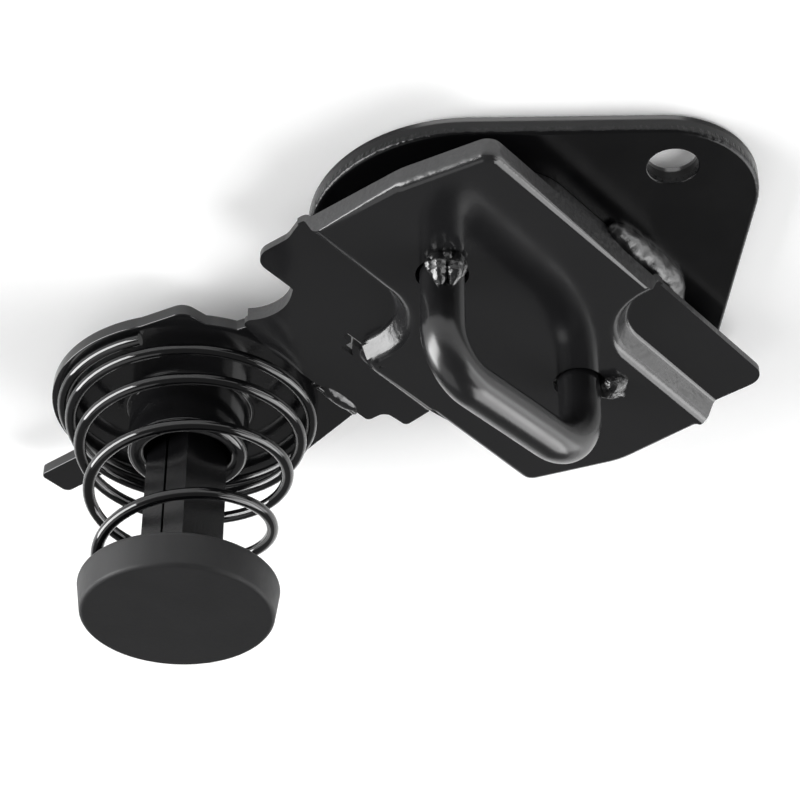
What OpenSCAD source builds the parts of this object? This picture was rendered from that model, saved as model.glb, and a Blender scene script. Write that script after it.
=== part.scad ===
// Bonnet latch, upper half: a striker loop on a pressed bracket and a sprung lift plunger.
// The bonnet is above: the mounting face lies in the plane z = 0 and everything hangs below it.
// The origin is on that face, above the striker loop. The loop runs along Y.

/* [Mounting plate] */
// Thickness of the plate that bolts to the bonnet
plate_t = 4; // [3:0.5:6]
// Radius of the plate's big near corner
plate_main_r = 30; // [26:1:36]
// Radius of the plate's nose
plate_nose_r = 18.8; // [14:0.2:22]
// Distance of the nose's centre from the loop, along X
plate_nose_x = 37.5; // [34:0.5:48]
// Radius of the plate's far corner
plate_rear_r = 22; // [15:1:26]
// Distance of the plate's straight left edge from the loop
plate_left = 21; // [16:1:24]
// Diameter of the bolt hole
bolt_hole_d = 9.4; // [6:0.2:14]
// Distance of the bolt hole from the loop, along X
bolt_hole_x = 44.8; // [40:0.2:48]

/* [Packing plate] */
// Thickness of the packing plate between the mounting plate and the bracket
packing_t = 4; // [2:0.5:6]
// Right edge of the packing plate from the loop
packing_right = 26; // [22:0.5:27]
// Corner radius of the packing plate
packing_r = 13.5; // [6:0.5:16]

/* [Bracket] */
// Thickness of the bracket's sheet
sheet_t = 1.4; // [1.2:0.1:2]
// Height of the raised panel above the tabs
step_h = 4.4; // [3.6:0.1:6]
// Inward lean of the drawn walls between panel and tabs
wall_lean = 2.4; // [1.5:0.1:3]
// Right edge of the bracket from the loop
bracket_right = 27.7; // [26:0.1:30]
// Left edge of the raised panel from the loop
bracket_left = 29; // [27:0.2:31]
// Near edge of the bracket from the loop
bracket_near = 46.9; // [44:0.1:52]
// Far edge of the bracket from the loop
bracket_far = 49.5; // [46:0.5:54]
// Width of the right tab's pocket
right_pocket_w = 15.9; // [15:0.1:17]
// Width of the left tab's pocket
left_pocket_w = 18.6; // [18:0.2:20]
// Corner radius of both pockets
pocket_r = 15; // [12:0.5:15]
// Distance from the loop to the free end of the bracket's arm
arm_reach = 44.6; // [42:0.2:47]

/* [Striker loop] */
// Diameter of the striker's round bar
bar_d = 8.5; // [6:0.5:10]
// Distance between the two legs, centre to centre
leg_spacing = 43.8; // [38:0.2:52]
// Drop from the panel's face to the bar's middle line at the near leg
near_drop = 21.2; // [18:0.2:30]
// Drop from the panel's face to the bar's middle line at the far leg
far_drop = 18.6; // [16:0.2:30]
// Radius of the near bend, at the middle of the bar
near_bend_r = 8.4; // [7:0.2:14]
// Radius of the far bend, at the middle of the bar
far_bend_r = 12.4; // [7:0.2:14]
// Gap all round a leg in the bracket's hole
leg_clear = 0.8; // [0.3:0.1:1]

/* [Spring plate] */
// Thickness of the spring plate
spring_plate_t = 2.5; // [2:0.1:3]
// Distance of the plunger's axis from the loop, along X
plunger_x = 71.3; // [70:0.1:76]
// Distance of the plunger's axis from the loop, along Y
plunger_y = 15.5; // [12:0.5:18]
// Radius of the round dish that carries the spring
dish_r = 28.2; // [28:0.2:32]
// Outer diameter of the guide collar
collar_d = 24.4; // [22:0.2:27]
// Height of the guide collar above the dish
collar_h = 13; // [8:0.5:16]
// Width of the locating tongue
tongue_w = 8.2; // [6:0.2:14]
// Reach of the locating tongue from the plunger's axis
tongue_reach = 42; // [34:0.5:48]
// How far the spring plate reaches under the arm
lap = 6; // [4:0.5:8]

/* [Plunger] */
// Diameter of the plunger's head at its rim
head_d = 39.5; // [34:0.5:46]
// Thickness of the head
head_t = 7.3; // [5:0.1:10]
// Narrowing of the head's diameter towards its face
head_taper = 1.5; // [0:0.1:3]
// Width of the square shaft across its flats
shaft_w = 11.5; // [9:0.1:12.5]
// Diameter over the shaft's rounded corners
shaft_corner_d = 16.2; // [14:0.1:17]
// Gap between the shaft's corners and the collar's bore
shaft_clear = 0.3; // [0.2:0.05:0.5]
// Width of the slit between the two snap legs, below the collar
slit_w = 0.6; // [0.4:0.1:2]
// Width of the slit at the snap hooks
slit_top_w = 3.2; // [2.4:0.2:4]
// Travel of the plunger when the bonnet shuts
plunger_travel = 25; // [15:1:26]

/* [Spring] */
// Diameter of the spring wire
wire_d = 2.4; // [1.6:0.1:2.6]
// Mean radius of the wide end, on the dish
coil_wide_r = 26; // [22:0.2:26.4]
// Mean radius of the narrow end, under the head
coil_narrow_r = 14; // [13.6:0.2:16]
// Number of turns
coil_turns = 5; // [4:0.25:6]

/* [Hidden] */
$fn = 64;
// Clear cut past a face, and the size of a block that cuts one side away
past = 1;
cut_block = 200;
// Largest angle and largest chord between two points of a drawn arc
arc_step = 9;
arc_chord = 1.8;
// The straight of the striker bar is this much slimmer than its bends and laps into them
bar_slim = 0.02;
bar_lap = 0.2;

// Boss under the head that centres the spring, and its gap to the collar when the plunger is fully in
seat_boss_h = 1.6;
shut_gap = 3.1;

// Levels, all measured down from the mounting face
z_plate = -plate_t;
z_floor_back = z_plate - packing_t;
z_floor = z_floor_back - sheet_t;
z_panel = z_floor - step_h;
z_dish = z_floor_back;
z_dish_back = z_dish + spring_plate_t;
z_collar = z_dish - collar_h;
spring_h = collar_h + seat_boss_h + plunger_travel + shut_gap;
z_head = z_dish - spring_h;
z_face = z_head - head_t;

// Mounting plate: three rounded corners, and the hole near its nose
plate_main_x = 2.5;
plate_main_y = -18.3;
plate_nose_y = -5.3;
plate_rear_x = 7;
plate_rear_y = 22.5;
bolt_hole_y = -11.1;

// Packing plate: its other edges, and the weld bead round its right end
packing_left = -18;
packing_near = -33;
packing_far = 24.6;
packing_bead = 3.2;
bead_root = 1;
bead_sink = 0.2;
packing_bead_from = -8;
packing_bead_to = 8;

// Bracket: bends are measured to the middle of the sheet
bend_r = 2;
wall_overlap = 2.1;
slab_overlap = 1.4;
tray_corner_r = 3;
tray_far_right_drop = 1.7;
edge_end_lap = 0.2;
tab_corner_r = 4;
tab_left = 28.2;
tab_right = 27.2;
tab_near = 44.8;
tab_near_jog_x = -19;
tab_far = 48.5;
right_pocket_x = bracket_right - right_pocket_w;
right_pocket_y = 5.8;
left_pocket_x = left_pocket_w - bracket_left;
left_pocket_y = -9.2;
near_cut_x = 9.6;
near_cut_depth = 3.4;
far_cut_x = -9.2;
far_cut_depth = 6.2;
cut_blend_r = 15;
arm_outer_corner_r = 3;
arm_wall_end = 10.1;
relief_from = 0.9;
relief_to = 2.2;
relief_turn = 66;
relief_left = -30.3;
relief_lobe_w = 1.4;
relief_lobe_end = -15.6;

// Arm: a notch at its far corner, a slanting near corner, and a waist with a turned-up rim
arm_far = 14.9;
arm_near = -20.5;
notch_w = 5;
notch_depth = 5.4;
notch_rise = 0.9;
notch_lean = 0.4;
notch_r = 2;
slant_w = 1.8;
slant_depth = 11.6;
slant_r = 6;
arm_tip_r = 1.5;
waist_x = -35.6;
waist_y = -26.9;
waist_r = 9.5;
waist_rim_h = 3;
rim_recess = 0.02;
arm_root_y = -32.8;
small_r = 1;

// Striker loop: its two legs, the rise of its bar towards the far leg, and one weld at each foot
loop_shift = -0.7;
near_leg_y = loop_shift - leg_spacing / 2;
far_leg_y = loop_shift + leg_spacing / 2;
bar_tilt = atan2(near_drop - far_drop, leg_spacing);
weld_r = 3.7;
weld_offset = 5.5;
leg_tail = 1.8;
weld_top_angle = 81;
near_weld_angle = -51;
far_weld_angle = 39;

// Spring plate
plunger_at = [-plunger_x, -plunger_y];
collar_bore_d = shaft_corner_d + 2 * shaft_clear;
collar_root_r = 1.5;
tongue_shift = 2.1;
tongue_r = 1.5;
neck_near = 24;
neck_far = 21;
neck_far_x = 9;
neck_far_drop = 1.5;
neck_corner_r = 2;
shoulder_w = 6;
shoulder_lean = 1.2;
shoulder_h = 10;
shoulder_r = 3;
lap_step = 2.5;
lap_weld = 1.8;
lap_weld_from = -6;
lap_weld_to = 6;

// Plunger
head_edge_r = 1;
seat_boss_gap = 0.6;
seat_boss_r = coil_narrow_r - wire_d / 2 - seat_boss_gap;
hook_gap = 0.3;
hook_reach = 1.6;
hook_w = 7;
hook_h = 4.4;
slit_floor = 2;

// Spring: it lies a little clear of the dish and of the head
spring_gap = 0.15;
head_gap = 0.3;
coil_start_angle = -69;
coil_steps = 28;
wire_sides = 8;

function unit(v) = v / norm(v);
function along(p, q) = unit([q[0] - p[0], q[1] - p[1]]);
function flat(p) = [p[0], p[1]];
function left_of(d) = [-d[1], d[0]];
function turn_angle(d, e) = atan2(d[0] * e[1] - d[1] * e[0], d[0] * e[0] + d[1] * e[1]);
function polar(c, r, a) = [c[0] + r * cos(a), c[1] + r * sin(a)];
function arc(c, r, from, to) =
    let (
        step = min(arc_step, arc_chord / r * 180 / PI),
        n = max(1, ceil(abs(to - from) / step))
    )
    [for (i = [0:n]) polar(c, r, from + (to - from) * i / n)];

// Points of a corner [x, y, radius], rounded between its two neighbours
function corner_points(p, q, s) =
    q[2] == 0 ? [flat(q)] :
    let (
        d = along(p, q),
        e = along(q, s),
        turn = turn_angle(d, e),
        side = sign(turn),
        c = flat(q) - d * q[2] * tan(abs(turn) / 2) + left_of(d) * side * q[2],
        from = atan2(d[1], d[0]) - 90 * side
    )
    arc(c, q[2], from, from + turn);
function rounded(corners) =
    let (n = len(corners))
    [for (i = [0:n - 1]) each corner_points(corners[(i + n - 1) % n], corners[i], corners[(i + 1) % n])];

// Outline of a belt drawn tight round discs [x, y, radius], given anticlockwise
function belt_normal(p, q) =
    atan2(q[1] - p[1], q[0] - p[0]) - acos((p[2] - q[2]) / norm([q[0] - p[0], q[1] - p[1]]));
function belt(discs) =
    let (n = len(discs))
    [for (i = [0:n - 1])
        let (
            from = belt_normal(discs[(i + n - 1) % n], discs[i]),
            to = belt_normal(discs[i], discs[(i + 1) % n])
        )
        each arc(discs[i], discs[i][2], from, from + (to - from + 720) % 360)];

// Section of a bent sheet: a centre line with rounded bends, thickened to both sides
function bent_line(path, r) =
    [for (i = [0:len(path) - 1])
        let (p = path[i])
        each (i == 0 || i == len(path) - 1)
            ? [p]
            : corner_points(path[i - 1], [p[0], p[1], r], path[i + 1])];
function shifted(line, by) =
    [for (i = [0:len(line) - 1])
        let (d = along(line[max(i - 1, 0)], line[min(i + 1, len(line) - 1)]))
        line[i] + left_of(d) * by];
function to_thousandth(v) = round(v * 1000) / 1000;
function to_micron(line) = [for (p = line) [to_thousandth(p[0]), to_thousandth(p[1])]];
function sheet_section(path, r, t) =
    let (line = bent_line(path, r), up = shifted(line, t / 2), down = shifted(line, -t / 2))
    to_micron(concat(up, [for (i = [len(down) - 1:-1:0]) down[i]]));

// Carries a section [distance to the left, height] along corners [x, y, radius] that turn square
function tangent_len(run, i) =
    (i == 0 || i == len(run) - 1) ? 0 :
    run[i][2] * tan(abs(turn_angle(along(run[i - 1], run[i]), along(run[i], run[i + 1]))) / 2);
module formed_run(run, section) {
    for (i = [0:len(run) - 2]) {
        d = along(run[i], run[i + 1]);
        from = flat(run[i]) + d * tangent_len(run, i);
        length = norm(flat(run[i + 1]) - from) - tangent_len(run, i + 1);
        translate(from) rotate([0, 0, atan2(d[1], d[0])]) rotate([90, 0, 90])
            linear_extrude(length) polygon(section);
    }
    for (i = [1:1:len(run) - 2]) {
        d = along(run[i - 1], run[i]);
        turn = turn_angle(d, along(run[i], run[i + 1]));
        side = sign(turn);
        r = run[i][2];
        c = flat(run[i]) - d * tangent_len(run, i) + left_of(d) * side * r;
        from = atan2(d[1], d[0]) - 90 * side;
        translate(c) rotate([0, 0, min(from, from + turn)])
            rotate_extrude(angle = abs(turn))
                polygon([for (p = section) [r - side * p[0], p[1]]]);
    }
}

// Section of a weld bead in an inside corner, bulging away from it. Its root may reach into the edge.
function bead_section(leg, z, root) =
    to_micron(concat(
        root > 0 ? [[root, z - leg]] : [],
        [[root, z]],
        [for (p = arc([0, 0], leg, 180, 90)) [p[0], z - p[1]]]
    ));

module mounting_plate() {
    color("#1b1b1d") difference() {
        translate([0, 0, z_plate]) linear_extrude(plate_t) polygon(belt([
            [plate_main_x, plate_main_y, plate_main_r],
            [plate_nose_x, plate_nose_y, plate_nose_r],
            [plate_rear_x, plate_rear_y, plate_rear_r]
        ]));
        translate([-plate_left - cut_block, -cut_block / 2, z_plate - past])
            cube([cut_block, cut_block, plate_t + 2 * past]);
        translate([bolt_hole_x, bolt_hole_y, z_plate - past])
            cylinder(h = plate_t + 2 * past, d = bolt_hole_d);
    }
}

// The packing plate with the bead that welds its right end to the mounting plate
module packing_plate() {
    color("#202022") union() {
        translate([0, 0, z_floor_back]) linear_extrude(packing_t) polygon(rounded([
            [packing_left, packing_near, packing_r],
            [packing_right, packing_near, packing_r],
            [packing_right, packing_far, packing_r],
            [packing_left, packing_far, packing_r]
        ]));
        formed_run([
            [packing_right - bead_sink, packing_bead_from, 0],
            [packing_right - bead_sink, packing_far - bead_sink, packing_r - bead_sink],
            [packing_bead_to, packing_far - bead_sink, 0]
        ], bead_section(packing_bead, z_plate, bead_root));
    }
}

// Middle levels of the bracket's sheet
panel_mid = z_panel + sheet_t / 2;
floor_mid = z_floor + sheet_t / 2;
wall_section = sheet_section([
    [-wall_overlap, panel_mid], [0, panel_mid],
    [wall_lean, floor_mid], [wall_lean + wall_overlap, floor_mid]
], bend_r, sheet_t);
floor_edge = wall_lean + slab_overlap;

// Edges of the raised tray from its near side round to its far left, moved inwards by a distance
function tray_edges(inset) = [
    [near_cut_x, -bracket_near + inset, cut_blend_r],
    [bracket_right - inset, -bracket_near + near_cut_depth + inset, tray_corner_r - inset],
    [bracket_right - inset, bracket_far - tray_far_right_drop - inset, 0],
    [far_cut_x, bracket_far - inset, cut_blend_r],
    [-bracket_left + inset, bracket_far - far_cut_depth - inset, tray_corner_r - inset],
    [-bracket_left + inset, arm_wall_end, 0]
];

// The raised panel with its turned edges, open where the two pockets are drawn into it
module tray() {
    inner_left = left_pocket_x - pocket_r;
    inner_near = left_pocket_y - pocket_r;
    difference() {
        translate([0, 0, z_panel]) linear_extrude(step_h) polygon(rounded(concat(
            [[inner_left, -bracket_near, 0]],
            tray_edges(0),
            [[-bracket_left + slab_overlap, arm_wall_end, 0], [-bracket_left + slab_overlap, inner_near, 0],
                [inner_left, inner_near, 0]]
        )));
        translate([0, 0, z_panel + sheet_t]) linear_extrude(step_h) polygon(rounded(concat(
            [[inner_left, -bracket_near + sheet_t, 0]],
            tray_edges(sheet_t),
            [[-bracket_left - past, arm_wall_end, 0], [-bracket_left - past, inner_near, 0]]
        )));
        translate([0, 0, z_panel - past]) linear_extrude(step_h + 2 * past) polygon(rounded([
            [right_pocket_x - slab_overlap, right_pocket_y - slab_overlap, pocket_r + slab_overlap],
            [bracket_right + past, right_pocket_y - slab_overlap, 0],
            [bracket_right + past, bracket_far + past, 0],
            [right_pocket_x - slab_overlap, bracket_far + past, 0]
        ]));
        translate([0, 0, z_panel - past]) linear_extrude(step_h + 2 * past) polygon(rounded([
            [left_pocket_x + slab_overlap, left_pocket_y + slab_overlap, pocket_r + slab_overlap],
            [-bracket_left - past, left_pocket_y + slab_overlap, 0],
            [-bracket_left - past, -bracket_near - past, 0],
            [left_pocket_x + slab_overlap, -bracket_near - past, 0]
        ]));
    }
}

// End of a turned edge, fitted into the drawn wall: [distance into the pocket, height]
edge_end = [
    [-wall_overlap, panel_mid], [-wall_overlap, z_floor],
    [wall_lean / 2 + edge_end_lap, z_floor], [-edge_end_lap, panel_mid + sheet_t / 2]
];
module near_edge_end() {
    translate([0, -bracket_near + sheet_t, 0]) rotate([90, 0, 0]) linear_extrude(sheet_t)
        polygon([for (p = edge_end) [left_pocket_x - p[0], p[1]]]);
}
module right_edge_end() {
    translate([bracket_right - sheet_t, 0, 0]) rotate([90, 0, 90]) linear_extrude(sheet_t)
        polygon([for (p = edge_end) [right_pocket_y + p[0], p[1]]]);
}

// Floor of the right tab
module right_tab() {
    translate([0, 0, z_floor]) linear_extrude(sheet_t) polygon(rounded([
        [right_pocket_x + floor_edge, right_pocket_y + floor_edge, pocket_r - floor_edge],
        [tab_right, right_pocket_y + floor_edge, 0],
        [tab_right, tab_far, tab_corner_r],
        [right_pocket_x + floor_edge, tab_far, 0]
    ]));
}

// Floor of the left tab, running out into the arm that carries the spring plate
arm_root = [-tab_left, arm_root_y, small_r];
arm_waist = [waist_x, waist_y, waist_r];
arm_tip = [-arm_reach + slant_w, arm_near - slant_depth, arm_tip_r];
module left_tab_and_arm() {
    rim = corner_points(arm_root, arm_waist, arm_tip);
    translate([0, 0, z_floor]) linear_extrude(sheet_t) polygon(rounded([
        [left_pocket_x - floor_edge, -bracket_near, 0],
        [left_pocket_x - floor_edge, left_pocket_y - floor_edge, pocket_r - floor_edge],
        [-bracket_left - floor_edge, left_pocket_y - floor_edge, 0],
        [-bracket_left - floor_edge, arm_far, 0],
        [-arm_reach + notch_w, arm_far + notch_rise, small_r],
        [-arm_reach + notch_w - notch_lean, arm_far - notch_depth, notch_r],
        [-arm_reach, arm_far - notch_depth, small_r],
        [-arm_reach, arm_near, slant_r],
        arm_tip,
        arm_waist,
        arm_root,
        [-tab_left, -tab_near, tab_corner_r],
        [tab_near_jog_x, -tab_near, tab_corner_r]
    ]));
    translate([0, 0, z_floor + sheet_t / 2]) linear_extrude(waist_rim_h - sheet_t / 2) polygon(concat(
        [for (p = rim) p + [0, rim_recess]],
        [for (i = [len(rim) - 1:-1:0]) rim[i] + [0, sheet_t]]
    ));
}

// Slit along the end of the left pocket, with a short lobe at its left
module relief_slit() {
    c = [left_pocket_x - pocket_r, left_pocket_y - pocket_r];
    polygon(concat(
        [[relief_left, left_pocket_y - relief_to], [relief_left, left_pocket_y - relief_from]],
        arc(c, pocket_r - relief_from, 90, relief_turn),
        arc(c, pocket_r - relief_to, relief_turn, 90)
    ));
    translate([relief_left, relief_lobe_end])
        square([relief_lobe_w, left_pocket_y - relief_from - relief_lobe_end]);
}

module striker_bracket() {
    color("#1d1d1f") difference() {
        union() {
            tray();
            near_edge_end();
            right_edge_end();
            right_tab();
            left_tab_and_arm();
            formed_run([
                [right_pocket_x, tab_far, 0],
                [right_pocket_x, right_pocket_y, pocket_r],
                [bracket_right, right_pocket_y, 0]
            ], wall_section);
            formed_run([
                [left_pocket_x, -bracket_near, 0],
                [left_pocket_x, left_pocket_y, pocket_r],
                [-bracket_left, left_pocket_y, arm_outer_corner_r],
                [-bracket_left, arm_wall_end, 0]
            ], wall_section);
        }
        for (y = [near_leg_y, far_leg_y])
            translate([0, y, z_panel - past])
                cylinder(h = sheet_t + 2 * past, d = bar_d + 2 * leg_clear);
        translate([0, 0, z_panel - past]) linear_extrude(sheet_t + step_h + 2 * past) relief_slit();
    }
}

// A dome of weld metal with a small flat top, beside a leg
module leg_weld(angle) {
    translate([weld_offset * cos(angle), weld_offset * sin(angle), 0]) rotate_extrude() polygon(concat(
        [[0, 0]],
        arc([0, 0], weld_r, 0, -weld_top_angle),
        [[0, -weld_r * sin(weld_top_angle)]]
    ));
}

// One leg of the loop with its bend. The bend's end turns into the tilted bar.
module leg_and_bend(drop, r, turn) {
    bend_z = to_thousandth(z_panel - drop + r * tan(turn / 2));
    reach = to_thousandth(r);
    translate([0, 0, bend_z]) cylinder(h = z_panel + leg_tail - bend_z, d = bar_d);
    translate([0, reach, bend_z]) rotate([90, 0, 90]) rotate([0, 0, 180])
        rotate_extrude(angle = turn) translate([reach, 0]) circle(d = bar_d);
}

// The bent bar, its two tails through the bracket, and the welds at its feet
module striker_loop() {
    near_turn = 90 + bar_tilt;
    far_turn = 90 - bar_tilt;
    near_cut = near_bend_r * tan(near_turn / 2);
    far_cut = far_bend_r * tan(far_turn / 2);
    bar_length = leg_spacing / cos(bar_tilt) - near_cut - far_cut;
    color("#242426") union() {
        translate([0, near_leg_y, 0]) leg_and_bend(near_drop, near_bend_r, near_turn);
        translate([0, far_leg_y, 0]) mirror([0, 1, 0]) leg_and_bend(far_drop, far_bend_r, far_turn);
        translate([0, near_leg_y, z_panel - near_drop]) rotate([bar_tilt - 90, 0, 0])
            translate([0, 0, near_cut - bar_lap])
                cylinder(h = bar_length + 2 * bar_lap, d = bar_d - 2 * bar_slim);
        translate([0, near_leg_y, z_panel]) leg_weld(near_weld_angle);
        translate([0, far_leg_y, z_panel]) leg_weld(far_weld_angle);
    }
}

// Half section of the collar: it rises from the dish with a fillet and ends in a rolled lip
function collar_section() =
    let (
        outer = collar_d / 2,
        inner = collar_bore_d / 2,
        lip = (outer - inner) / 2,
        middle = (outer + inner) / 2
    )
    concat(
        [[inner, z_dish_back]],
        arc([middle, z_collar + lip], lip, 180, 360),
        arc([outer + collar_root_r, z_dish - collar_root_r], collar_root_r, 180, 90),
        [[outer + collar_root_r + past, z_dish], [outer + collar_root_r + past, z_dish_back]]
    );

// The dish, its collar, its tongue, and the neck lapped behind the arm
module spring_plate() {
    lap_x = -arm_reach + lap;
    shoulder_y = plunger_at[1] - neck_near;
    color("#1c1c1e") union() {
        difference() {
            translate([0, 0, z_dish]) linear_extrude(spring_plate_t) union() {
                translate(plunger_at) circle(r = dish_r, $fn = 96);
                translate(plunger_at + [0, tongue_shift]) polygon(rounded([
                    [-tongue_reach, -tongue_w / 2, tongue_r],
                    [0, -tongue_w / 2, 0],
                    [0, tongue_w / 2, 0],
                    [-tongue_reach, tongue_w / 2, tongue_r]
                ]));
                polygon(rounded([
                    [plunger_at[0], plunger_at[1] - dish_r, 0],
                    [-arm_reach - shoulder_w, shoulder_y, shoulder_r],
                    [-arm_reach - shoulder_w + shoulder_lean, shoulder_y + shoulder_h, shoulder_r],
                    [lap_x, shoulder_y + shoulder_h + lap_step, neck_corner_r],
                    [lap_x, plunger_at[1] + neck_far, neck_corner_r],
                    [plunger_at[0] + neck_far_x, plunger_at[1] + dish_r - neck_far_drop, 0]
                ]));
            }
            translate([plunger_at[0], plunger_at[1], z_dish - past])
                cylinder(h = spring_plate_t + 2 * past, r = collar_d / 2 + collar_root_r);
        }
        translate(plunger_at) rotate_extrude() polygon(collar_section());
        formed_run([[-arm_reach, lap_weld_from, 0], [-arm_reach, lap_weld_to, 0]],
            [for (p = bead_section(lap_weld, z_dish, 0)) [-p[0], p[1]]]);
    }
}

// Half section of the head: a rounded rim, a slight taper and a low boss that centres the spring
function head_section() =
    let (
        rim = head_d / 2,
        face = (head_d - head_taper) / 2,
        e = head_edge_r
    )
    concat(
        [[0, z_head + seat_boss_h], [seat_boss_r, z_head + seat_boss_h], [seat_boss_r, z_head]],
        arc([rim - e, z_head - e], e, 90, 0),
        arc([face - e, z_face + e], e, 0, -90),
        [[0, z_face]]
    );

// The head, the square shaft split into two legs, and a snap hook on each leg
module plunger() {
    hook_foot = z_dish_back + hook_gap;
    shaft_top = hook_foot + hook_h;
    shaft_h = shaft_top - z_head;
    hook_tip = collar_bore_d / 2 + hook_reach;
    slit_foot = z_head + seat_boss_h + slit_floor;
    color("#161616") translate(plunger_at) union() {
        rotate_extrude() polygon(head_section());
        difference() {
            union() {
                translate([0, 0, z_head]) intersection() {
                    translate([-shaft_w / 2, -shaft_w / 2, 0]) cube([shaft_w, shaft_w, shaft_h]);
                    cylinder(h = shaft_h, d = shaft_corner_d);
                }
                for (side = [0, 1])
                    mirror([side, 0, 0]) translate([0, hook_w / 2, 0]) rotate([90, 0, 0])
                        linear_extrude(hook_w) polygon([
                            [shaft_w / 2 - past, hook_foot],
                            [hook_tip, hook_foot],
                            [hook_tip, hook_foot + hook_h / 4],
                            [shaft_w / 2, shaft_top],
                            [shaft_w / 2 - past, shaft_top]
                        ]);
            }
            translate([0, shaft_w, 0]) rotate([90, 0, 0]) linear_extrude(2 * shaft_w) polygon([
                [-slit_w / 2, slit_foot],
                [slit_w / 2, slit_foot],
                [slit_w / 2, z_collar],
                [slit_top_w / 2, shaft_top + past],
                [-slit_top_w / 2, shaft_top + past],
                [-slit_w / 2, z_collar]
            ]);
        }
    }
}

// The wire rises faster and narrows faster towards the head, and lies flat at both ends for part of a turn
dish_end_turn = 0.25;
head_end_turn = 0.6;
even_rise = 0.3;
rise_power = 2.5;
narrowing_power = 1.25;
coil_from = z_dish - spring_gap - wire_d / 2;
coil_to = z_head + head_gap + wire_d / 2;
function coil_rise(f) = even_rise * f + (1 - even_rise) * pow(f, rise_power);
function coil_share(n) =
    min(max((n - dish_end_turn) / (coil_turns - dish_end_turn - head_end_turn), 0), 1);
function coil_point(n) =
    let (
        f = coil_share(n),
        r = coil_wide_r + (coil_narrow_r - coil_wide_r) * pow(n / coil_turns, narrowing_power),
        a = coil_start_angle - 360 * n
    )
    [r * cos(a), r * sin(a), coil_from + (coil_to - coil_from) * coil_rise(f)];

// Tube of a wire: one ring of points round each point of its centre line
function wire_ring(p, d, r) =
    let (u = unit(cross(d, [0, 0, 1])), v = cross(u, d))
    [for (k = [0:wire_sides - 1]) p + r * (u * cos(360 * k / wire_sides) + v * sin(360 * k / wire_sides))];
module wire(line, r) {
    n = len(line);
    points = [for (i = [0:n - 1])
        each wire_ring(line[i], unit(line[min(i + 1, n - 1)] - line[max(i - 1, 0)]), r)];
    s = wire_sides;
    skin = [for (i = [0:n - 2], k = [0:s - 1])
        [i * s + k, i * s + (k + 1) % s, (i + 1) * s + (k + 1) % s, (i + 1) * s + k]];
    first = [for (k = [s - 1:-1:0]) k];
    last = [for (k = [0:s - 1]) (n - 1) * s + k];
    polyhedron(points, concat(skin, [first, last]));
}

module conical_spring() {
    count = ceil(coil_turns * coil_steps);
    color("#101010") translate(plunger_at)
        wire([for (i = [0:count]) coil_point(coil_turns * i / count)], wire_d / 2);
}

mounting_plate();
packing_plate();
striker_bracket();
striker_loop();
spring_plate();
plunger();
conical_spring();
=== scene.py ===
import math

import bmesh
import bpy
from mathutils import Matrix, Vector, noise


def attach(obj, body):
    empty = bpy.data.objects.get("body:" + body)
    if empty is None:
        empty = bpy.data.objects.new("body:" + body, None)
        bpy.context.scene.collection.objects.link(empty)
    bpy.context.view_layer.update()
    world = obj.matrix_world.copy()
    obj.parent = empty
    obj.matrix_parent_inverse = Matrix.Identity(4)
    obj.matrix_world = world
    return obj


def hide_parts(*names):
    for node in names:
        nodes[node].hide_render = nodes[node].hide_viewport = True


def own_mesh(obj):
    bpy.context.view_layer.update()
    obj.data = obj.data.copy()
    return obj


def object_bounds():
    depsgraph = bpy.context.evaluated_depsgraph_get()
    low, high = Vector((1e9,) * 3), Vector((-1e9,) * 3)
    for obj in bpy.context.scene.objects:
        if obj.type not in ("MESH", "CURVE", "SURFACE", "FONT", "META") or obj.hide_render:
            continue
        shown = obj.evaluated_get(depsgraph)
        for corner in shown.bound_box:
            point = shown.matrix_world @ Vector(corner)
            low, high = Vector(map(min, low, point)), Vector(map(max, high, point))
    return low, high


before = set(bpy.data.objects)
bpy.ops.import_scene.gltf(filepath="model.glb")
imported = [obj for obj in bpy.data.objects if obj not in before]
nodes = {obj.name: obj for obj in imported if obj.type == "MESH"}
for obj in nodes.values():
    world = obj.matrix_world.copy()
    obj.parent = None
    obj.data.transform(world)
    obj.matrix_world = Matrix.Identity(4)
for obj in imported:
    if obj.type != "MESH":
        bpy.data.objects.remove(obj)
cad_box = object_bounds()

MM = 0.001

# Levels and places that the pieces share with the solids
PLATE_FRONT = -4 * MM
PANEL_FRONT = -13.8 * MM
DISH_FRONT = -8 * MM
BOLT_HOLE = Vector((44.8 * MM, -11.1 * MM, PLATE_FRONT))
PACKING_LEFT = -18 * MM
PACKING_RIGHT = 26 * MM
PACKING_NEAR = -33 * MM
PACKING_FAR = 24.6 * MM
PACKING_CORNER = 13.5 * MM
POCKET_LEFT = -28.6 * MM
POCKET_END = -9.2 * MM
POCKET_CORNER = Vector((-25.4 * MM, -24.2 * MM, 0))
ARM_END = -44.6 * MM
BAR_RADIUS = 4.25 * MM
NEAR_LEG_Y = -22.6 * MM
FAR_LEG_Y = 21.2 * MM
NEAR_FOOT = Vector((0, NEAR_LEG_Y, PANEL_FRONT))
FAR_FOOT = Vector((0, FAR_LEG_Y, PANEL_FRONT))
NEAR_DROP = 21.2 * MM
FAR_DROP = 18.6 * MM
NEAR_BEND = 8.4 * MM
FAR_BEND = 12.4 * MM
LEG_TAIL = 1.8 * MM
HEAD_BACK = -50.7 * MM
PLUNGER_AXIS = Vector((-71.3 * MM, -15.5 * MM, 0))
WIRE_RADIUS = 1.2 * MM

# How close points lie that are merged, and how sharp an edge is, in degrees, that is rounded off
MERGE_GAP = 0.001 * MM
SQUARE_EDGE = 60
CUT_EDGE = 35


def linear(hex_colour):
    """Linear colour of an sRGB hex value."""
    channels = [int(hex_colour[i:i + 2], 16) / 255 for i in (1, 3, 5)]
    return tuple(c / 12.92 if c <= 0.04045 else ((c + 0.055) / 1.055) ** 2.4 for c in channels) + (1.0,)


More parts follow.
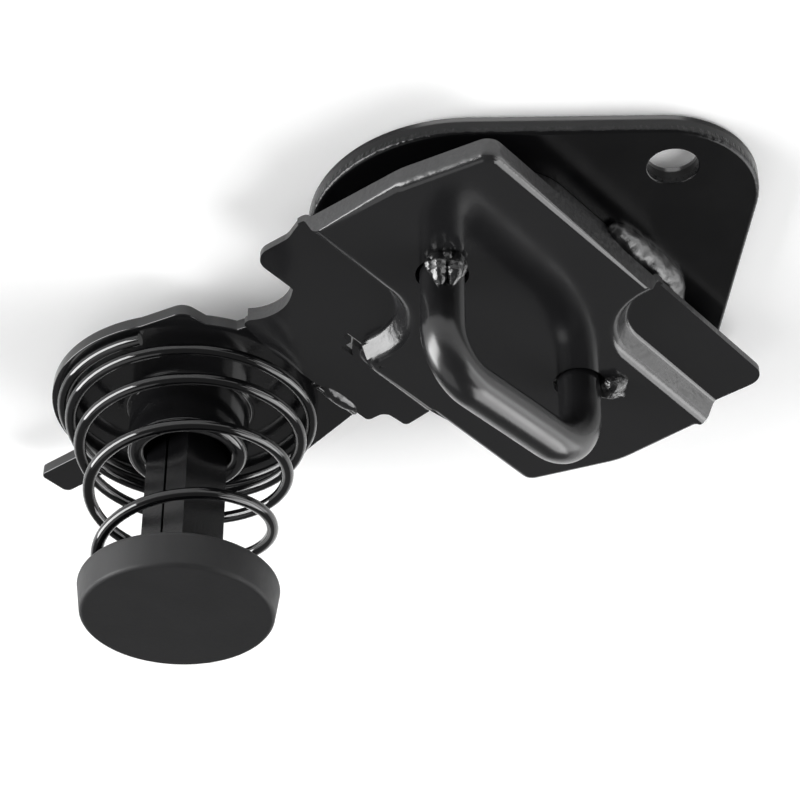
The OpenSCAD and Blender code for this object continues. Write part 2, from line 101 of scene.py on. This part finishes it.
def per_mm(size):
    """Scale of a noise pattern whose features are about this many millimetres across."""
    return 1 / (size * MM)


def add_node(tree, kind, inputs=None, links=None, **settings):
    """One node with its settings, its input values and the sockets that feed it."""
    node = tree.nodes.new(kind)
    for name, value in settings.items():
        setattr(node, name, value)
    for name, value in (inputs or {}).items():
        node.inputs[name].default_value = value
    for name, socket in (links or {}).items():
        tree.links.new(socket, node.inputs[name])
    return node


def new_material(name):
    """An empty node material and its output node."""
    material = bpy.data.materials.new(name)
    material.use_nodes = True
    material.node_tree.nodes.clear()
    return material, add_node(material.node_tree, "ShaderNodeOutputMaterial")


def uprightness(tree):
    """None on a level face and one on an upright wall."""
    surface = add_node(tree, "ShaderNodeNewGeometry")
    facing = add_node(tree, "ShaderNodeSeparateXYZ", links={"Vector": surface.outputs["Normal"]})
    flatness = add_node(tree, "ShaderNodeMath", operation="ABSOLUTE", links={0: facing.outputs["Z"]})
    return add_node(tree, "ShaderNodeMath", {0: 1.0}, {1: flatness.outputs["Value"]},
        operation="SUBTRACT").outputs["Value"]


def coated_steel(name, colour, roughness, peel, shine=0.5, lumps=0.0, shear=None, scored=0.0):
    """Electro-coated steel: a thin black paint, dipped and baked, over pressed or welded metal.
    It gives a satin black with softly blurred reflections and a faint orange peel.
    Over weld metal it is lumpy. A sheared edge turns from smooth to torn between two heights.
    Walls that a press has drawn are duller than flat sheet and faintly scored."""
    material, output = new_material(name)
    tree = material.node_tree
    place = add_node(tree, "ShaderNodeTexCoord").outputs["Object"]
    fine = add_node(tree, "ShaderNodeTexNoise", {"Scale": per_mm(0.7), "Detail": 2.0}, {"Vector": place})
    broad = add_node(tree, "ShaderNodeTexNoise", {"Scale": per_mm(9), "Detail": 3.0}, {"Vector": place})
    rough = add_node(tree, "ShaderNodeMapRange",
        {"From Min": 0.3, "From Max": 0.7, "To Min": roughness - 0.03, "To Max": roughness + 0.05},
        {"Value": broad.outputs["Fac"]})
    bump = add_node(tree, "ShaderNodeBump", {"Strength": peel, "Distance": 0.02 * MM},
        {"Height": fine.outputs["Fac"]})
    bump = add_node(tree, "ShaderNodeBump", {"Strength": 0.5 * peel, "Distance": 0.15 * MM},
        {"Height": broad.outputs["Fac"], "Normal": bump.outputs["Normal"]})
    if lumps:
        spatter = add_node(tree, "ShaderNodeTexNoise", {"Scale": per_mm(1.6), "Detail": 3.0},
            {"Vector": place})
        bump = add_node(tree, "ShaderNodeBump", {"Strength": lumps, "Distance": 0.5 * MM},
            {"Height": spatter.outputs["Fac"], "Normal": bump.outputs["Normal"]})
    if scored:
        wall_dullness = 0.3
        wall = uprightness(tree)
        dull = add_node(tree, "ShaderNodeMath", {1: wall_dullness}, {0: wall}, operation="MULTIPLY")
        rough = add_node(tree, "ShaderNodeMath", operation="ADD",
            links={0: rough.outputs["Result"], 1: dull.outputs["Value"]})
        scores = add_node(tree, "ShaderNodeTexNoise", {"Scale": per_mm(1.3), "Detail": 3.0},
            {"Vector": place})
        amount = add_node(tree, "ShaderNodeMath", {1: scored}, {0: wall}, operation="MULTIPLY")
        bump = add_node(tree, "ShaderNodeBump", {"Distance": 0.3 * MM},
            {"Height": scores.outputs["Fac"], "Normal": bump.outputs["Normal"],
                "Strength": amount.outputs["Value"]})
    if shear:
        torn_from, torn_to = shear
        height = add_node(tree, "ShaderNodeSeparateXYZ", links={"Vector": place})
        zone = add_node(tree, "ShaderNodeMapRange",
            {"From Min": torn_from, "From Max": torn_to}, {"Value": height.outputs["Z"]})
        streaks = add_node(tree, "ShaderNodeMapping", {"Scale": (1, 1, 0.35)}, {"Vector": place})
        tears = add_node(tree, "ShaderNodeTexNoise", {"Scale": per_mm(1.1), "Detail": 4.0},
            {"Vector": streaks.outputs["Vector"]})
        amount = add_node(tree, "ShaderNodeMath", operation="MULTIPLY",
            links={0: zone.outputs["Result"], 1: uprightness(tree)})
        bump = add_node(tree, "ShaderNodeBump", {"Distance": 0.9 * MM},
            {"Height": tears.outputs["Fac"], "Normal": bump.outputs["Normal"],
                "Strength": amount.outputs["Value"]})
    shader = add_node(tree, "ShaderNodeBsdfPrincipled",
        {"Base Color": linear(colour), "IOR": 1.6, "Specular IOR Level": shine},
        {"Roughness": rough.outputs[0], "Normal": bump.outputs["Normal"]})
    tree.links.new(shader.outputs["BSDF"], output.inputs["Surface"])
    return material


def drawn_spring_wire():
    """Drawn and black-lacquered spring wire: smooth along its length,
    so each coil carries a sharp bright line."""
    material, output = new_material("lacquered_drawn_spring_wire")
    tree = material.node_tree
    place = add_node(tree, "ShaderNodeTexCoord").outputs["Object"]
    wear = add_node(tree, "ShaderNodeTexNoise", {"Scale": per_mm(4), "Detail": 3.0}, {"Vector": place})
    rough = add_node(tree, "ShaderNodeMapRange", {"To Min": 0.04, "To Max": 0.09},
        {"Value": wear.outputs["Fac"]})
    bump = add_node(tree, "ShaderNodeBump", {"Strength": 0.12, "Distance": 0.05 * MM},
        {"Height": wear.outputs["Fac"]})
    shader = add_node(tree, "ShaderNodeBsdfPrincipled",
        {"Base Color": linear("#070708"), "IOR": 1.6},
        {"Roughness": rough.outputs["Result"], "Normal": bump.outputs["Normal"]})
    tree.links.new(shader.outputs["BSDF"], output.inputs["Surface"])
    return material


def moulded_nylon():
    """Black nylon, injection moulded in a spark-eroded tool: an even matt grain and no clear reflections.
    The grain is about 0.3 mm, drawn at 0.6 mm so that it shows. Above the head the shaft is greased,
    which makes it smoother, and its colour is darker there: painted shade."""
    material, output = new_material("moulded_black_nylon")
    tree = material.node_tree
    place = add_node(tree, "ShaderNodeTexCoord").outputs["Object"]
    grain = add_node(tree, "ShaderNodeTexNoise", {"Scale": per_mm(0.6), "Detail": 3.0}, {"Vector": place})
    scuffs = add_node(tree, "ShaderNodeTexNoise", {"Scale": per_mm(7), "Detail": 4.0}, {"Vector": place})
    dry = add_node(tree, "ShaderNodeMapRange",
        {"From Min": 0.3, "From Max": 0.7, "To Min": 0.48, "To Max": 0.64}, {"Value": scuffs.outputs["Fac"]})
    height = add_node(tree, "ShaderNodeSeparateXYZ", links={"Vector": place})
    shaft_grease_and_shade_edge = 1.5 * MM
    grease_and_painted_shade = add_node(tree, "ShaderNodeMapRange",
        {"From Min": HEAD_BACK, "From Max": HEAD_BACK + shaft_grease_and_shade_edge}, {"Value": height.outputs["Z"]})
    rough = add_node(tree, "ShaderNodeMix", {"B": 0.22},
        {"Factor": grease_and_painted_shade.outputs["Result"], "A": dry.outputs["Result"]})
    # In a mix of colours, inputs 6 and 7 are the two colours and output 2 is the result
    # The second, darker colour, on the shaft above the head, is painted shade.
    colour = add_node(tree, "ShaderNodeMix", {6: linear("#161617"), 7: linear("#080809")},
        {"Factor": grease_and_painted_shade.outputs["Result"]}, data_type="RGBA")
    bump = add_node(tree, "ShaderNodeBump", {"Strength": 0.35, "Distance": 0.05 * MM},
        {"Height": grain.outputs["Fac"]})
    shader = add_node(tree, "ShaderNodeBsdfPrincipled",
        {"IOR": 1.53, "Specular IOR Level": 0.32},
        {"Base Color": colour.outputs[2], "Roughness": rough.outputs[0], "Normal": bump.outputs["Normal"]})
    tree.links.new(shader.outputs["BSDF"], output.inputs["Surface"])
    return material


def shown(tree, rays):
    """One for a ray from the camera, from a reflection or through glass, and none for light."""
    mirrored = add_node(tree, "ShaderNodeMath", operation="MAXIMUM",
        links={0: rays.outputs["Is Camera Ray"], 1: rays.outputs["Is Glossy Ray"]})
    return add_node(tree, "ShaderNodeMath", operation="MAXIMUM",
        links={0: mirrored.outputs["Value"], 1: rays.outputs["Is Transmission Ray"]}).outputs["Value"]


def white_paper(name, glow):
    """Matt white paper, seen from its front only. The glow lifts it to white for the camera and in
    reflections, and more so far off, where the lamps hardly reach. A face that nearly touches it looks
    through it."""
    lamps_end, all_white = 0.5, 1.2
    touch = 2 * MM
    material, output = new_material(name)
    tree = material.node_tree
    rays = add_node(tree, "ShaderNodeLightPath")
    place = add_node(tree, "ShaderNodeTexCoord").outputs["Object"]
    away = add_node(tree, "ShaderNodeVectorMath", links={0: place}, operation="LENGTH")
    lift = add_node(tree, "ShaderNodeMapRange",
        {"From Min": lamps_end, "From Max": all_white, "To Min": glow, "To Max": 1.0},
        {"Value": away.outputs["Value"]})
    strength = add_node(tree, "ShaderNodeMath", operation="MULTIPLY",
        links={0: lift.outputs["Result"], 1: shown(tree, rays)})
    light = add_node(tree, "ShaderNodeEmission", links={"Strength": strength.outputs["Value"]})
    paper = add_node(tree, "ShaderNodeBsdfDiffuse", {"Color": linear("#fafafa")})
    front = add_node(tree, "ShaderNodeAddShader",
        links={0: paper.outputs["BSDF"], 1: light.outputs["Emission"]})
    clear = add_node(tree, "ShaderNodeBsdfTransparent")
    side = add_node(tree, "ShaderNodeNewGeometry")
    touching = add_node(tree, "ShaderNodeMath", {1: touch}, {0: rays.outputs["Ray Length"]},
        operation="LESS_THAN")
    open_side = add_node(tree, "ShaderNodeMath", operation="MAXIMUM",
        links={0: side.outputs["Backfacing"], 1: touching.outputs["Value"]})
    mix = add_node(tree, "ShaderNodeMixShader", links={0: open_side.outputs["Value"]})
    tree.links.new(front.outputs["Shader"], mix.inputs[1])
    tree.links.new(clear.outputs["BSDF"], mix.inputs[2])
    tree.links.new(mix.outputs["Shader"], output.inputs["Surface"])
    return material


def new_piece(name, bm, material, body, smooth_angle=40):
    """Turns a bmesh into a smooth piece of the object that rides on a body."""
    mesh = bpy.data.meshes.new(name)
    bm.to_mesh(mesh)
    bm.free()
    mesh.polygons.foreach_set("use_smooth", [True] * len(mesh.polygons))
    mesh.set_sharp_from_angle(angle=math.radians(smooth_angle))
    mesh.materials.append(material)
    piece = bpy.data.objects.new(name, mesh)
    bpy.context.scene.collection.objects.link(piece)
    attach(piece, body)
    return piece


def cut_edges(bm, angle):
    """The edges where two faces meet at more than an angle in degrees."""
    return [e for e in bm.edges if e.is_manifold and e.calc_face_angle() > math.radians(angle)]


def rounded_off(bm, edges, width, steps, clamped):
    """Rounds edges off over a width on each side."""
    bmesh.ops.bevel(bm, geom=edges, offset=width, offset_type="OFFSET", affect="EDGES",
        segments=steps, profile=0.5, material=-1, clamp_overlap=clamped)


def softened(node, name, material, body, width, broad=None):
    """A copy of a solid with its cut edges slightly rounded, as coated and tumbled edges are.
    Its outline at one height may be rounded more, but not the holes, given by centre and reach."""
    merged, shortest, same_level = 0.002 * MM, 0.0005 * MM, 0.01 * MM
    flat = math.radians(1)
    bm = bmesh.new()
    bm.from_mesh(nodes[node].data)
    bmesh.ops.remove_doubles(bm, verts=bm.verts, dist=merged)
    bmesh.ops.dissolve_degenerate(bm, edges=bm.edges, dist=shortest)
    bmesh.ops.dissolve_limit(bm, angle_limit=flat, verts=bm.verts, edges=bm.edges)
    if broad:
        height, broad_width, holes = broad
        square = cut_edges(bm, SQUARE_EDGE)
        level = [e for e in square if all(abs(v.co.z - height) < same_level for v in e.verts)]
        outline = [e for e in level if all((e.verts[0].co - c).length > reach for c, reach in holes)]
        rounded_off(bm, outline, broad_width, steps=5, clamped=False)
    rounded_off(bm, cut_edges(bm, CUT_EDGE), width, steps=2, clamped=True)
    piece = new_piece(name, bm, material, body)
    piece.modifiers.new("flat_faces", "WEIGHTED_NORMAL").keep_sharp = True
    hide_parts(node)
    return piece


def ring_on(bm, centre, turn, radius, sides):
    """A ring of edges with its middle at centre, turned from the XY plane."""
    place = Matrix.Translation(centre) @ turn
    ring = bmesh.ops.create_circle(bm, segments=sides, radius=radius, matrix=place)
    return list({e for v in ring["verts"] for e in v.link_edges})


def ring_along(bm, path, i, radius, sides):
    """A ring of edges round one point of a path, facing along it."""
    ahead = path[min(i + 1, len(path) - 1)] - path[max(i - 1, 0)]
    turn = ahead.to_track_quat("Z", "Y").to_matrix().to_4x4()
    return ring_on(bm, path[i], turn, radius, sides)


def joined(bm, last, ring, sides):
    """Bridges a ring to the last one, or closes it where it is the first, and returns it."""
    if last:
        bmesh.ops.bridge_loops(bm, edges=last + ring)
    else:
        bmesh.ops.holes_fill(bm, edges=ring, sides=sides)
    return ring


def carried(bm, edges, by):
    """Extrudes a ring of edges by a vector and returns the new ring."""
    made = bmesh.ops.extrude_edge_only(bm, edges=edges)["geom"]
    verts = [v for v in made if isinstance(v, bmesh.types.BMVert)]
    bmesh.ops.translate(bm, verts=verts, vec=by)
    return [e for e in made if isinstance(e, bmesh.types.BMEdge)]


def bent(bm, edges, centre, axis, angle, steps):
    """Spins a ring of edges round an axis and returns the new ring."""
    made = bmesh.ops.spin(bm, geom=edges, cent=centre, axis=axis, angle=angle, steps=steps,
        use_duplicate=False)
    return [e for e in made["geom_last"] if isinstance(e, bmesh.types.BMEdge)]


def pushed_out(bm, by):
    """Extrudes the faces made so far by a vector and returns what that made."""
    made = bmesh.ops.extrude_face_region(bm, geom=bm.faces[:])["geom"]
    moved = [v for v in made if isinstance(v, bmesh.types.BMVert)]
    bmesh.ops.translate(bm, verts=moved, vec=by)
    return made


def packing_plate_body():
    """A flat plate with four rounded corners, without the weld that holds it."""
    bm = bmesh.new()
    near = [(PACKING_LEFT, PACKING_NEAR), (PACKING_RIGHT, PACKING_NEAR)]
    far = [(PACKING_RIGHT, PACKING_FAR), (PACKING_LEFT, PACKING_FAR)]
    outline = bm.faces.new([bm.verts.new((x, y, PLATE_FRONT)) for x, y in near + far])
    bmesh.ops.bevel(bm, geom=list(outline.verts), offset=PACKING_CORNER, offset_type="OFFSET",
        affect="VERTICES", segments=12, profile=0.5, material=-1)
    pushed_out(bm, Vector((0, 0, DISH_FRONT - PLATE_FRONT)))
    bmesh.ops.recalc_face_normals(bm, faces=bm.faces)
    edge_width = 0.3 * MM
    rounded_off(bm, cut_edges(bm, SQUARE_EDGE), edge_width, steps=2, clamped=True)
    return bm


def pocket_end_wall():
    """The drawn wall at the end of the left pocket: its section run along the end and on round the corner.
    Each point of the section is a distance into the pocket and a height, in millimetres."""
    bm = bmesh.new()
    corner_turn = math.radians(25)
    section = [(2.35, -10.29), (1.38, -12.07), (0.86, -12.82), (0.3, -12.3), (0.7, -11.7), (1.65, -9.95)]
    bm.faces.new([bm.verts.new((POCKET_LEFT, POCKET_END - inset * MM, z * MM)) for inset, z in section])
    wall = pushed_out(bm, Vector((POCKET_CORNER.x - POCKET_LEFT, 0, 0)))
    bmesh.ops.spin(bm, geom=wall, cent=POCKET_CORNER, axis=(0, 0, -1), angle=corner_turn, steps=8)
    bmesh.ops.remove_doubles(bm, verts=bm.verts, dist=MERGE_GAP)
    bmesh.ops.recalc_face_normals(bm, faces=bm.faces)
    return bm


def striker_bar():
    """The bar: down the near leg, round its bend, along a slight rise, round the far bend and up again."""
    bm = bmesh.new()
    sides, bend_steps = 48, 28
    tilt = math.atan2(NEAR_DROP - FAR_DROP, FAR_LEG_Y - NEAR_LEG_Y)
    near_turn = math.pi / 2 + tilt
    far_turn = math.pi / 2 - tilt
    near_cut = NEAR_BEND * math.tan(near_turn / 2)
    far_cut = FAR_BEND * math.tan(far_turn / 2)
    straight = (FAR_LEG_Y - NEAR_LEG_Y) / math.cos(tilt) - near_cut - far_cut
    top = PANEL_FRONT + LEG_TAIL
    near_z = PANEL_FRONT - NEAR_DROP + near_cut
    far_z = PANEL_FRONT - FAR_DROP + far_cut
    across = Vector((1, 0, 0))
    ring = ring_on(bm, Vector((0, NEAR_LEG_Y, top)), Matrix.Identity(4), BAR_RADIUS, sides)
    bmesh.ops.holes_fill(bm, edges=ring, sides=sides)
    ring = carried(bm, ring, Vector((0, 0, near_z - top)))
    ring = bent(bm, ring, Vector((0, NEAR_LEG_Y + NEAR_BEND, near_z)), across, near_turn, bend_steps)
    ring = carried(bm, ring, straight * Vector((0, math.cos(tilt), math.sin(tilt))))
    ring = bent(bm, ring, Vector((0, FAR_LEG_Y - FAR_BEND, far_z)), across, far_turn, bend_steps)
    ring = carried(bm, ring, Vector((0, 0, top - far_z)))
    bmesh.ops.holes_fill(bm, edges=ring, sides=sides)
    bmesh.ops.remove_doubles(bm, verts=bm.verts, dist=MERGE_GAP)
    bmesh.ops.recalc_face_normals(bm, faces=bm.faces)
    return bm


def weld_bead(bm, path, radius, seed, ripple=0.0, taper=1.0, crumple=0.2, slender=0.5):
    """A run of weld metal: rings along a path, swelling and shrinking with each overlapped puddle.
    Taper is the share of the radius that is left at its end, crumple the depth of its lumps, and a
    small slender makes its ends blunt."""
    sides, puddle_step, lumps_per_metre, tip = 28, 1.9, 520, 0.01
    last = None
    for i, point in enumerate(path):
        share = i / (len(path) - 1)
        ends = math.sin(math.pi * min(max(share, tip), 1 - tip)) ** slender
        size = radius * (1 + (taper - 1) * share) * ends * (1 + ripple * math.sin(i * puddle_step))
        ring = ring_along(bm, path, i, size, sides)
        for v in {v for e in ring for v in e.verts}:
            v.co += (v.co - point) * crumple * noise.noise(v.co * lumps_per_metre + Vector((seed, 0, 0)))
        last = joined(bm, last, ring, sides)
    bmesh.ops.holes_fill(bm, edges=last, sides=sides)
    bmesh.ops.recalc_face_normals(bm, faces=bm.faces)


def polar(centre, radius, angle):
    """A point at an angle in degrees, level with the centre."""
    return centre + radius * Vector((math.cos(math.radians(angle)), math.sin(math.radians(angle)), 0))


def arc_points(centre, radius, start, end, count):
    """Points on a level arc, between two angles in degrees."""
    return [polar(centre, radius, start + (end - start) * i / (count - 1)) for i in range(count)]


def spring_wire():
    """The wire's middle line, winding inwards and rising faster towards the head."""
    turns, steps = 5, 72
    dish_turn, head_turn = 0.25, 0.6
    wide, narrow, start_angle = 26 * MM, 14 * MM, -69
    dish_gap, head_gap = 0.15 * MM, 0.3 * MM
    even_rise, late_rise, rise_power, narrowing_power = 0.3, 0.7, 2.5, 1.25
    low = DISH_FRONT - dish_gap - WIRE_RADIUS
    high = HEAD_BACK + head_gap + WIRE_RADIUS
    points = []
    for i in range(turns * steps + 1):
        turn = i / steps
        share = min(max((turn - dish_turn) / (turns - dish_turn - head_turn), 0), 1)
        rise = even_rise * share + late_rise * share ** rise_power
        radius = wide + (narrow - wide) * (turn / turns) ** narrowing_power
        angle = math.radians(start_angle - 360 * turn)
        height = low + (high - low) * rise
        points.append(PLUNGER_AXIS + Vector((radius * math.cos(angle), radius * math.sin(angle), height)))
    return points


def wire_along(points, radius, sides):
    """A round wire along a line of points, cut square at both ends."""
    bm = bmesh.new()
    last = None
    for i in range(len(points)):
        last = joined(bm, last, ring_along(bm, points, i, radius, sides), sides)
    bmesh.ops.holes_fill(bm, edges=last, sides=sides)
    bmesh.ops.recalc_face_normals(bm, faces=bm.faces)
    return bm


def paper_sheet(name, z, facing, material):
    """A broad sheet of paper that shows on one side only.
    It casts no shadow and throws no soft light back."""
    half_side = 2.0
    bm = bmesh.new()
    bmesh.ops.create_grid(bm, x_segments=1, y_segments=1, size=half_side,
        matrix=Matrix.Translation((0, 0, z)))
    if facing < 0:
        bmesh.ops.reverse_faces(bm, faces=bm.faces)
    mesh = bpy.data.meshes.new(name)
    bm.to_mesh(mesh)
    bm.free()
    mesh.materials.append(material)
    sheet = bpy.data.objects.new(name, mesh)
    bpy.context.scene.collection.objects.link(sheet)
    sheet.visible_diffuse = False
    sheet.visible_shadow = False
    return sheet


def softbox(name, offset, width, height, watts):
    """A soft lamp at an offset from the part's middle, looking at it."""
    middle = (cad_box[0] + cad_box[1]) / 2
    place = middle + Vector(offset)
    data = bpy.data.lights.new(name, "AREA")
    data.shape = "RECTANGLE"
    data.size = width
    data.size_y = height
    data.energy = watts
    lamp = bpy.data.objects.new(name, data)
    lamp.location = place
    lamp.rotation_mode = "QUATERNION"
    lamp.rotation_quaternion = (middle - place).to_track_quat("-Z", "Y")
    bpy.context.scene.collection.objects.link(lamp)


TORN_ZONE = (-2.3 * MM, -2.7 * MM)
# The bolt-on plate's coat has a darker colour than the pressed sheet's coat: painted shade.
plate_coat = coated_steel("electrocoated_sheared_plate", "#080809",
    roughness=0.22, peel=0.25, shine=0.25, shear=TORN_ZONE)
sheet_coat = coated_steel("electrocoated_pressed_sheet", "#1b1b1c", roughness=0.13, peel=0.2, scored=0.8)
dish_coat = coated_steel("electrocoated_drawn_dish", "#141415", roughness=0.1, peel=0.15)
bar_coat = coated_steel("electrocoated_bent_bar", "#151516", roughness=0.22, peel=0.25)
weld_coat = coated_steel("electrocoated_weld_metal", "#161617",
    roughness=0.17, peel=0.3, shine=0.6, lumps=0.7)
ribbon_coat = coated_steel("electrocoated_weld_ribbon", "#1a1a1b",
    roughness=0.3, peel=0.3, shine=0.6, lumps=0.35)
wire_lacquer = drawn_spring_wire()
nylon = moulded_nylon()

# Outlines that are rounded more: the height, the width of the rounding, and the holes that stay sharper
BOLT_HOLE_REACH = 6 * MM
FOOT_HOLE_REACH = 7 * MM
plate_edge = (PLATE_FRONT, 0.8 * MM, [(BOLT_HOLE, BOLT_HOLE_REACH)])
panel_edge = (PANEL_FRONT, 1.7 * MM, [(NEAR_FOOT, FOOT_HOLE_REACH), (FAR_FOOT, FOOT_HOLE_REACH)])

# Plates, bracket, plunger and bar
softened("mounting_plate", "bolt_on_plate", plate_coat, "base", width=0.3 * MM, broad=plate_edge)
packing = new_piece("packing_plate_body", packing_plate_body(), sheet_coat, "base")
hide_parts("packing_plate")
softened("striker_bracket", "pressed_bracket", sheet_coat, "base", width=0.2 * MM, broad=panel_edge)
softened("spring_plate", "collared_spring_plate", dish_coat, "base", width=0.25 * MM)
softened("plunger", "lift_plunger", nylon, "plunger", width=0.3 * MM)
new_piece("pocket_end_wall", pocket_end_wall(), sheet_coat, "base")
bar = new_piece("striker_bar", striker_bar(), bar_coat, "base")
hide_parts("striker_loop")

# Welds at the bar's feet. The near one fans out on the panel in ridges that run down the leg:
# the angle of each, its reach on the panel, its length on the leg and its half width in millimetres.
NEAR_RIDGES = [
    (-77, 5.8, 2.8, 1.4),
    (-58, 7.0, 6.2, 1.8),
    (-43, 7.6, 2.2, 1.5),
    (-28, 7.3, 5.8, 1.7),
    (-9, 6.0, 3.6, 1.4),
]
RIDGE_STEPS = 14
ALL_SMOOTH = 180
foot_welds = bmesh.new()
near_arc = arc_points(NEAR_FOOT, 5.0 * MM, start=-86, end=0, count=24)
weld_bead(foot_welds, near_arc, radius=2.0 * MM, seed=3.1, ripple=0.06)
for angle, reach, length, half_width in NEAR_RIDGES:
    outer = polar(NEAR_FOOT, reach * MM, angle)
    inner = polar(NEAR_FOOT, BAR_RADIUS, angle) - Vector((0, 0, length * MM))
    ridge = [outer.lerp(inner, i / RIDGE_STEPS) for i in range(RIDGE_STEPS + 1)]
    weld_bead(foot_welds, ridge, half_width * MM, seed=angle, ripple=0.05, taper=0.8, crumple=0.28)
far_arc = arc_points(FAR_FOOT, 6.4 * MM, start=19, end=69, count=18)
weld_bead(foot_welds, far_arc, radius=3.3 * MM, seed=9.4, ripple=0.05, crumple=0.3)
new_piece("foot_welds", foot_welds, weld_coat, "base", ALL_SMOOTH)

# Weld round the packing plate's right end, on the bolt-on plate, with a ring every half millimetre
packing_weld = bmesh.new()
corner = Vector((PACKING_RIGHT - PACKING_CORNER, PACKING_FAR - PACKING_CORNER, PLATE_FRONT))
packing_line = [Vector((PACKING_RIGHT, y * 0.5 * MM, PLATE_FRONT)) for y in range(-10, 22)]
packing_line += arc_points(corner, PACKING_CORNER, start=0, end=90, count=44)
weld_bead(packing_weld, packing_line, radius=3.4 * MM, seed=7.7, crumple=0.14, slender=0.2)
new_piece("packing_weld", packing_weld, ribbon_coat, "base", ALL_SMOOTH)

# Weld of the spring plate's lap along the end of the bracket's arm, with a ring every quarter millimetre
lap_weld = bmesh.new()
lap_line = [Vector((ARM_END, y * 0.25 * MM, DISH_FRONT)) for y in range(-26, 27)]
weld_bead(lap_weld, lap_line, radius=2.15 * MM, seed=11.3, crumple=0.06, slender=0.3)
new_piece("lap_weld", lap_weld, sheet_coat, "base", ALL_SMOOTH)

# Spring between the dish and the head, built at its rest length
coil_mesh = wire_along(spring_wire(), WIRE_RADIUS, sides=16)
coil = new_piece("spring_coil", coil_mesh, wire_lacquer, "base", smooth_angle=60)
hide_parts("conical_spring")
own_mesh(coil)

# The part lies with its mounting face against one sheet. The other lies under it in views from above.
SHEET_GAP = 0.3 * MM
paper = white_paper("matt_white_paper", glow=0.08)
paper_sheet("paper_behind", SHEET_GAP, facing=-1, material=paper)
under = paper_sheet("paper_under", cad_box[0].z - SHEET_GAP, facing=1, material=paper)
under.visible_glossy = False

softbox("front_softbox", (-0.56, -0.68, -0.19), width=1.0, height=0.5, watts=18)
softbox("side_softbox", (0.64, 0.54, -0.27), width=1.1, height=0.7, watts=5.4)
softbox("back_softbox", (0.3, 0.6, -0.6), width=0.6, height=0.6, watts=4.6)
softbox("low_softbox", (-0.4, -0.25, -0.7), width=0.6, height=0.6, watts=0.8)
softbox("upper_softbox", (0.35, -0.45, 0.8), width=0.8, height=0.8, watts=8)

# A dim studio with a lighter ceiling, and a white backdrop as a band round the horizon
world = bpy.data.worlds.new("studio")
world.use_nodes = True
studio = world.node_tree
studio.nodes.clear()
rays = add_node(studio, "ShaderNodeLightPath")
direction = add_node(studio, "ShaderNodeTexCoord")
level = add_node(studio, "ShaderNodeSeparateXYZ", links={"Vector": direction.outputs["Generated"]})
light = add_node(studio, "ShaderNodeMapRange",
    {"From Min": -0.02, "From Max": 0.1, "To Min": 0.18, "To Max": 0.6}, {"Value": level.outputs["Z"]})
off_level = add_node(studio, "ShaderNodeMath", operation="ABSOLUTE", links={0: level.outputs["Z"]})
band = add_node(studio, "ShaderNodeMapRange",
    {"From Min": 0.2, "From Max": 0.25, "To Min": 1.0, "To Max": 0.0}, {"Value": off_level.outputs["Value"]})
backdrop = add_node(studio, "ShaderNodeMath", operation="MULTIPLY",
    links={0: band.outputs["Result"], 1: shown(studio, rays)})
strength = add_node(studio, "ShaderNodeMapRange", {"To Max": 1.0},
    {"Value": backdrop.outputs["Value"], "To Min": light.outputs["Result"]})
sky = add_node(studio, "ShaderNodeBackground", {"Color": linear("#ffffff")},
    {"Strength": strength.outputs["Result"]})
add_node(studio, "ShaderNodeOutputWorld", links={"Surface": sky.outputs["Background"]})
bpy.context.scene.world = world

# Camera below the part, looking up at its front
VIEWPOINT = (213.6 * MM, -298.9 * MM, -296.4 * MM)
LOOKING = Vector((-0.5091, 0.6287, 0.5878))
lens = bpy.data.cameras.new("viewpoint")
lens.lens = 108
lens.sensor_width = 36
lens.clip_start = 0.01
camera = bpy.data.objects.new("viewpoint", lens)
camera.location = VIEWPOINT
camera.rotation_mode = "QUATERNION"
camera.rotation_quaternion = LOOKING.to_track_quat("-Z", "Y")
bpy.context.scene.collection.objects.link(camera)
bpy.context.scene.camera = camera
bpy.context.scene.view_settings.view_transform = "Standard"

bpy.context.view_layer.update()
